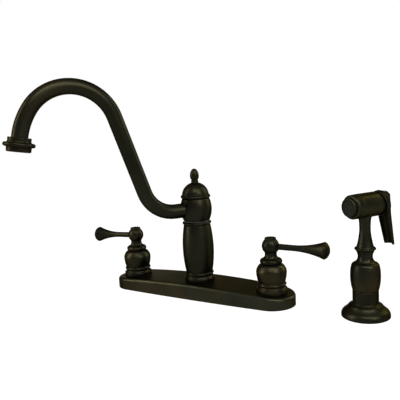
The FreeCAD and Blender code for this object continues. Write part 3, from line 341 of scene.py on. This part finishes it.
# ---- valve bodies, cartridges and supply tubes -------------------------------------------
# Each valve is a turned brass body with a half inch threaded shank. A brass-cased ceramic
# cartridge is screwed into it from above, and a soldered copper tube leads to the column.
machined, given, gives = new_group(
    "machined", (("Vector", VECTOR, None), ("Bright", COLOR, None), ("Tarnish", COLOR, None),
                 ("Lines", FLOAT, 900.0), ("Stain", FLOAT, 60.0), ("Low", FLOAT, 0.22),
                 ("High", FLOAT, 0.40)),
    (("Color", COLOR), ("Roughness", FLOAT), ("Height", FLOAT)))
cuts = add_node(machined, "ShaderNodeTexWave", bands_direction="Z", wave_profile="SAW",
                values=(("Distortion", 0.6), ("Detail", 2.0), ("Detail Scale", 3.0)),
                links=(("Vector", given.outputs["Vector"]), ("Scale", given.outputs["Lines"])))
stain = add_node(machined, "ShaderNodeTexNoise", values=(("Detail", 5.0), ("Roughness", 0.6)),
                 links=(("Vector", given.outputs["Vector"]), ("Scale", given.outputs["Stain"])))
stain_level = add_node(machined, "ShaderNodeMapRange", values=(("From Min", 0.45), ("From Max", 0.75)),
                       links=(("Value", stain.outputs["Fac"]),))
stained = add_node(machined, "ShaderNodeMix", data_type="RGBA",
                   links=((0, stain_level.outputs["Result"]), (6, given.outputs["Bright"]),
                          (7, given.outputs["Tarnish"])))
cut_rough = add_node(machined, "ShaderNodeMapRange",
                     links=(("Value", stain.outputs["Fac"]), ("To Min", given.outputs["Low"]),
                            ("To Max", given.outputs["High"])))
machined.links.new(stained.outputs[2], gives.inputs["Color"])
machined.links.new(cut_rough.outputs["Result"], gives.inputs["Roughness"])
machined.links.new(cuts.outputs["Fac"], gives.inputs["Height"])


def machined_finish(name, bright, tarnish, low, high, lines=900.0, stain=60.0, relief=0.06):
    """A bare metal with the marks of the lathe, and faint stains."""
    finish, tree, place = new_finish(name)
    wearing = add_node(tree, "ShaderNodeGroup", node_tree=edge_wear, links=(("Vector", place),),
                       values=(("Radius", 0.0002), ("Spread", 0.0)))
    metal = add_node(tree, "ShaderNodeGroup", node_tree=machined, links=(("Vector", place),),
                     values=(("Bright", (*bright, 1)), ("Tarnish", (*tarnish, 1)), ("Lines", lines),
                             ("Stain", stain), ("Low", low), ("High", high)))
    bump = add_node(tree, "ShaderNodeBump", values=(("Strength", relief), ("Distance", 0.0001)),
                    links=(("Height", metal.outputs["Height"]), ("Normal", wearing.outputs["Normal"])))
    feed_shader(tree, metal, bump).inputs["Metallic"].default_value = 1.0
    return finish


brass = machined_finish("plain_brass", (0.62, 0.44, 0.18), (0.40, 0.26, 0.11), 0.22, 0.42)
copper = machined_finish("copper_tube", (0.78, 0.38, 0.24), (0.42, 0.20, 0.13), 0.24, 0.44,
                         lines=120.0, relief=0.02)
finish_nodes(brass, "left_valve_body", "right_valve_body", "left_cartridge", "right_cartridge",
             "left_valve_stem", "right_valve_stem")
finish_nodes(copper, "left_supply_tube", "right_supply_tube")

# Threads: one tree winds a ridge round a shank, thinned at both ends where the cutter ran out.
# The sprayer's coil spring is wound by it too.
threads = bpy.data.node_groups.new("thread_winder", "GeometryNodeTree")
threads.interface.new_socket("Geometry", in_out="INPUT", socket_type="NodeSocketGeometry")
for label, value in (("Radius", 0.01), ("Pitch", 0.0018), ("Length", 0.02), ("Low End", 0.0),
                     ("Ridge", 0.0005), ("End Share", 0.1)):
    threads.interface.new_socket(label, in_out="INPUT", socket_type=FLOAT).default_value = value
threads.interface.new_socket("Sides", in_out="INPUT", socket_type="NodeSocketInt").default_value = 4
threads.interface.new_socket("Finish", in_out="INPUT", socket_type="NodeSocketMaterial")
threads.interface.new_socket("Geometry", in_out="OUTPUT", socket_type="NodeSocketGeometry")
asked = threads.nodes.new("NodeGroupInput")
made = threads.nodes.new("NodeGroupOutput")
turns = add_node(threads, "ShaderNodeMath", operation="DIVIDE",
                 links=((0, asked.outputs["Length"]), (1, asked.outputs["Pitch"])))
winding = add_node(threads, "GeometryNodeCurveSpiral", values=(("Resolution", 40),),
                   links=(("Rotations", turns.outputs[0]), ("Start Radius", asked.outputs["Radius"]),
                          ("End Radius", asked.outputs["Radius"]), ("Height", asked.outputs["Length"])))
upright = add_node(threads, "GeometryNodeSetCurveNormal", links=(("Curve", winding.outputs[0]),))
upright.mode = "Z_UP"
along = add_node(threads, "GeometryNodeSplineParameter")
to_middle = add_node(threads, "ShaderNodeMath", operation="PINGPONG", values=((1, 0.5),),
                     links=((0, along.outputs["Factor"]),))
run_out = add_node(threads, "ShaderNodeMapRange",
                   values=(("From Min", 0.0), ("From Max", 0.04), ("To Max", 1.0)),
                   links=(("Value", to_middle.outputs[0]), ("To Min", asked.outputs["End Share"])))
ridge = add_node(threads, "GeometryNodeCurvePrimitiveCircle",
                 links=(("Radius", asked.outputs["Ridge"]), ("Resolution", asked.outputs["Sides"])))
wound = add_node(threads, "GeometryNodeCurveToMesh", values=(("Fill Caps", True),),
                 links=(("Curve", upright.outputs[0]), ("Profile Curve", ridge.outputs[0]),
                        ("Scale", run_out.outputs["Result"])))
sunk_to = add_node(threads, "ShaderNodeCombineXYZ", links=(("Z", asked.outputs["Low End"]),))
lowered = add_node(threads, "GeometryNodeTransform",
                   links=(("Geometry", wound.outputs[0]), ("Translation", sunk_to.outputs[0])))
whole = add_node(threads, "GeometryNodeRealizeInstances", links=((0, lowered.outputs[0]),))
coated = add_node(threads, "GeometryNodeSetMaterial",
                  links=(("Geometry", whole.outputs[0]), ("Material", asked.outputs["Finish"])))
threads.links.new(coated.outputs[0], made.inputs[0])


def grown(name, tree, sizes, place=(0, 0, 0), lay=Matrix.Identity(4)):
    """Runs a geometry tree with these named sizes, and keeps its result as a plain mesh."""
    seed_mesh = bpy.data.meshes.new(name + "_seed")
    grower = bpy.data.objects.new(name + "_grower", seed_mesh)
    bpy.context.scene.collection.objects.link(grower)
    modifier = grower.modifiers.new("grow", "NODES")
    modifier.node_group = tree
    sockets = {item.name: item.identifier for item in tree.interface.items_tree if item.in_out == "INPUT"}
    for label, value in sizes.items():
        modifier[sockets[label]] = value
    bpy.context.view_layer.update()
    mesh = bpy.data.meshes.new_from_object(grower.evaluated_get(bpy.context.evaluated_depsgraph_get()))
    mesh.name = name
    grower.modifiers.clear()
    bpy.data.objects.remove(grower)
    mesh.transform(Matrix.Translation(place) @ lay)
    piece = bpy.data.objects.new(name, mesh)
    bpy.context.scene.collection.objects.link(piece)
    return piece


COARSE_PITCH, COARSE_RIDGE = 0.0018, 0.00034
SHANK_R = 0.01045
RIDGE_SINK = 0.0001         # the ridge's centre line lies this much below the shank's face
HANDLE_X = 0.1016
for side, x in (("left", -HANDLE_X), ("right", HANDLE_X)):
    for part, low, length in (("clamping", -0.0295, 0.029), ("supply", -0.0515, 0.0178)):
        thread = grown(side + "_" + part + "_thread", threads,
                       {"Radius": SHANK_R - RIDGE_SINK, "Pitch": COARSE_PITCH, "Length": length,
                        "Low End": low, "Ridge": COARSE_RIDGE, "Finish": brass}, place=(x, 0, 0))
        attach(thread, "base")

# ---- shank nuts and washers, holder nut and washer ---------------------------------------
# Pressed steel washers and hexagon nuts, zinc plated and passivated, that clamp the
# faucet and the sprayer's holder to the counter from below.
zinc = machined_finish("zinc_steel", (0.60, 0.60, 0.57), (0.44, 0.43, 0.36), 0.28, 0.46,
                       lines=300.0, stain=180.0)
finish_nodes(zinc, "left_shank_washer", "right_shank_washer", "left_shank_nut", "right_shank_nut",
             "holder_washer", "holder_nut")

# ---- centre post and diverter ------------------------------------------------------------
# A turned brass post stands in the column: it mixes the water, feeds the spout and, through the
# threaded nipple below the deck, the sprayer's hose. The diverter slides in its bore.
finish_nodes(brass, "centre_post", "diverter_sleeve", "hub_retainer_nut")
finish_nodes(acetal, "diverter_poppet")
black_acetal = moulded_finish("black_acetal", (0.008, 0.008, 0.008), (0.013, 0.013, 0.012), 0.40, 0.55,
                              size=420.0)
finish_nodes(black_acetal, "column_bearing_ring")
finish_nodes(rubber, "lower_o_ring", "upper_o_ring")
OUTLET_R, FINE_PITCH, FINE_RIDGE = 0.0066, 0.0014, 0.00028
outlet_thread = grown("sprayer_outlet_thread", threads,
                      {"Radius": OUTLET_R - RIDGE_SINK, "Pitch": FINE_PITCH, "Length": 0.023,
                       "Low End": -0.0315, "Ridge": FINE_RIDGE, "Finish": brass})
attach(outlet_thread, "base")

# ---- column ------------------------------------------------------------------------------
# One turned barrel with a stepped foot ring, a bead and a slow swell, pressed down on the deck
# plate by the post. Same bronze as the plate, rubbed a little more on its rings.
# The column's bronze tones are painted a little darker (0.92): painted shade.
column_bronze = bronze_finish("column_bronze", cloud=30.0, warmth=0.35, wear=0.45, painted_brightness=0.92)
finish_nodes(column_bronze, "column_barrel")

# ---- bells -------------------------------------------------------------------------------
# Turned bells cover the valves: foot ring, bead, swelling wall and shoulder. Their foot rings are
# rubbed bright in places by the cloth that wipes the deck plate.
# The bells' bronze tones are painted 1.15 times brighter: painted light.
bell_bronze = bronze_finish("bell_bronze", cloud=38.0, warmth=0.55, wear=0.5, painted_brightness=1.15)
finish_nodes(bell_bronze, "left_bell", "right_bell")

# ---- handles -----------------------------------------------------------------------------
# Cast and turned hub with a ball, a trumpet shaped lever screwed into it, and a fluted button that
# hides the stainless screw. Hands rub their edges a little brighter than the deck plate's.
# The handles' bronze tones are painted darker (0.88): painted shade.
handle_bronze = bronze_finish("handle_bronze", cloud=46.0, warmth=0.45, wear=0.55, painted_brightness=0.88)
finish_nodes(handle_bronze, "left_handle_hub", "right_handle_hub", "left_handle_lever", "right_handle_lever",
             "left_handle_cap", "right_handle_cap")
stainless = machined_finish("stainless", (0.60, 0.59, 0.57), (0.48, 0.46, 0.43), 0.18, 0.30, lines=1400.0)
finish_nodes(stainless, "left_handle_screw", "right_handle_screw")

# ---- spout -------------------------------------------------------------------------------
# A drawn brass tube bent over a former and brazed into the turned hub, which swivels on the post.
# At its end are a collar, the aerator's shell with a round bead, and the aerator with its washer.
# The spout hub's, collar's and shell's bronze tones are painted darker (0.88): painted shade.
spout_bronze = bronze_finish("spout_bronze", cloud=22.0, warmth=0.3, wear=0.4, painted_brightness=0.88)
finish_nodes(spout_bronze, "spout_hub", "outlet_collar", "aerator_shell")
# The spout tube's bronze tones are painted slightly darker (0.98): painted shade.
tube_bronze = bronze_finish("tube_bronze", cloud=16.0, warmth=0.3, wear=0.05, painted_brightness=0.98)
finish_nodes(tube_bronze, "spout_tube")
finish_nodes(rubber, "aerator_washer")
finish_nodes(acetal, "aerator_screen")

# ---- dome cap and finial -----------------------------------------------------------------
# A spun dome closes the hub, and an acorn shaped finial is screwed into its top.
finish_nodes(handle_bronze, "finial")
finish_nodes(column_bronze, "dome_cap")

# ---- sprayer holder ----------------------------------------------------------------------
# A turned flange with a cup, whose 28 mm threaded shank goes through its own hole in the counter.
# The holder's bronze tones are painted a little darker (0.92): painted shade.
holder_bronze = bronze_finish("holder_bronze", cloud=34.0, warmth=0.1, wear=0.4, painted_brightness=0.92)
finish_nodes(holder_bronze, "sprayer_holder")
SPRAYER = Vector((0.211, 0.005, 0.0))
HOLDER_SHANK_R = 0.014
holder_thread = grown("holder_thread", threads,
                      {"Radius": HOLDER_SHANK_R - RIDGE_SINK, "Pitch": COARSE_PITCH, "Length": 0.0375,
                       "Low End": -0.0393, "Ridge": COARSE_RIDGE, "Finish": holder_bronze}, place=SPRAYER)
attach(holder_thread, "base")

# ---- sprayer handle ----------------------------------------------------------------------
# Grip and neck are turned brass, screwed together; the plain brass nipple in the tail takes the hose.
grip_bronze = bronze_finish("grip_bronze", cloud=32.0, warmth=0.5, wear=0.4)
finish_nodes(grip_bronze, "sprayer_grip", "sprayer_neck")
finish_nodes(brass, "hose_nipple")

# ---- sprayer head ------------------------------------------------------------------------
# Two turned halves with a shut seam, a bronzed nozzle ring, and in it a black face plate with three
# rings of spray holes, each with a small raised lip of soft plastic that scale rubs off.
# The head's bronze tones are painted 1.3 times brighter: painted light.
head_bronze = bronze_finish("head_bronze", cloud=36.0, warmth=0.2, wear=0.45, painted_brightness=1.3)
finish_nodes(head_bronze, "sprayer_head", "sprayer_front_cap", "nozzle_ring")
black_plastic = moulded_finish("black_plastic", (0.0055, 0.0058, 0.0040), (0.0090, 0.0092, 0.0066),
                               0.55, 0.68)
black_plastic.node_tree.nodes["Principled BSDF"].inputs["Specular IOR Level"].default_value = 0.08
finish_nodes(black_plastic, "spray_face")

lips = bpy.data.node_groups.new("spray_lips", "GeometryNodeTree")
lips.interface.new_socket("Geometry", in_out="INPUT", socket_type="NodeSocketGeometry")
for label, value in (("Ring Step", 0.0022), ("Lip Radius", 0.00068), ("Lip Thickness", 0.0002)):
    lips.interface.new_socket(label, in_out="INPUT", socket_type=FLOAT).default_value = value
lips.interface.new_socket("Finish", in_out="INPUT", socket_type="NodeSocketMaterial")
lips.interface.new_socket("Geometry", in_out="OUTPUT", socket_type="NodeSocketGeometry")
asked = lips.nodes.new("NodeGroupInput")
made = lips.nodes.new("NodeGroupOutput")
lip_line = add_node(lips, "GeometryNodeCurvePrimitiveCircle", values=(("Resolution", 14),),
                    links=(("Radius", asked.outputs["Lip Radius"]),))
lip_section = add_node(lips, "GeometryNodeCurvePrimitiveCircle", values=(("Resolution", 6),),
                       links=(("Radius", asked.outputs["Lip Thickness"]),))
lip = add_node(lips, "GeometryNodeCurveToMesh", links=(("Curve", lip_line.outputs[0]),
                                                       ("Profile Curve", lip_section.outputs[0])))
every_ring = add_node(lips, "GeometryNodeJoinGeometry")
for count in (1, 2, 3):
    ring_radius = add_node(lips, "ShaderNodeMath", operation="MULTIPLY", values=((1, float(count)),),
                           links=((0, asked.outputs["Ring Step"]),))
    spots = add_node(lips, "GeometryNodeMeshCircle", values=(("Vertices", 6 * count),),
                     links=(("Radius", ring_radius.outputs[0]),))
    placed = add_node(lips, "GeometryNodeInstanceOnPoints",
                      links=(("Points", spots.outputs[0]), ("Instance", lip.outputs[0])))
    lips.links.new(placed.outputs[0], every_ring.inputs[0])
whole = add_node(lips, "GeometryNodeRealizeInstances", links=((0, every_ring.outputs[0]),))
coated = add_node(lips, "GeometryNodeSetMaterial",
                  links=(("Geometry", whole.outputs[0]), ("Material", asked.outputs["Finish"])))
lips.links.new(coated.outputs[0], made.inputs[0])
HEAD_AXIS = SPRAYER + Vector((0, 0, 0.1225))
FACE_AHEAD = 0.0228
AHEAD = Vector((-0.5, -math.sqrt(0.75), 0.0))
head_lay = AHEAD.to_track_quat("Z", "Y").to_matrix().to_4x4()
spray_lips = grown("spray_lips", lips, {"Finish": black_plastic}, place=HEAD_AXIS + AHEAD * FACE_AHEAD,
                   lay=head_lay)
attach(spray_lips, "sprayer")

# ---- trigger, pin, plunger and spring ----------------------------------------------------
# A cast trigger whose cup fits round the head's rear swings on a bronzed pin and pushes a
# stainless plunger. The coil round the plunger is squeezed by it and pushes it back.
# Its hollows reach 14 mm, so the whole inner channel of the lever is painted dark: painted shade. Its tones
# are also painted 1.1 times brighter: painted light.
trigger_bronze = bronze_finish("trigger_bronze", cloud=36.0, warmth=0.1, wear=0.5, painted_brightness=1.1, depth=0.014)
finish_nodes(trigger_bronze, "trigger", "trigger_pin")
finish_nodes(stainless, "trigger_plunger")
COIL_R, WIRE_R, COIL_TURNS = 0.0037, 0.00045, 6
COIL_BACK, COIL_LENGTH = 0.01445, 0.0097
coil = grown("plunger_coil", threads,
             {"Radius": COIL_R, "Pitch": COIL_LENGTH / COIL_TURNS, "Length": COIL_LENGTH,
              "Low End": -COIL_BACK, "Ridge": WIRE_R, "End Share": 1.0, "Sides": 10, "Finish": stainless},
             place=HEAD_AXIS, lay=head_lay)
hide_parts("plunger_spring")
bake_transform(coil)
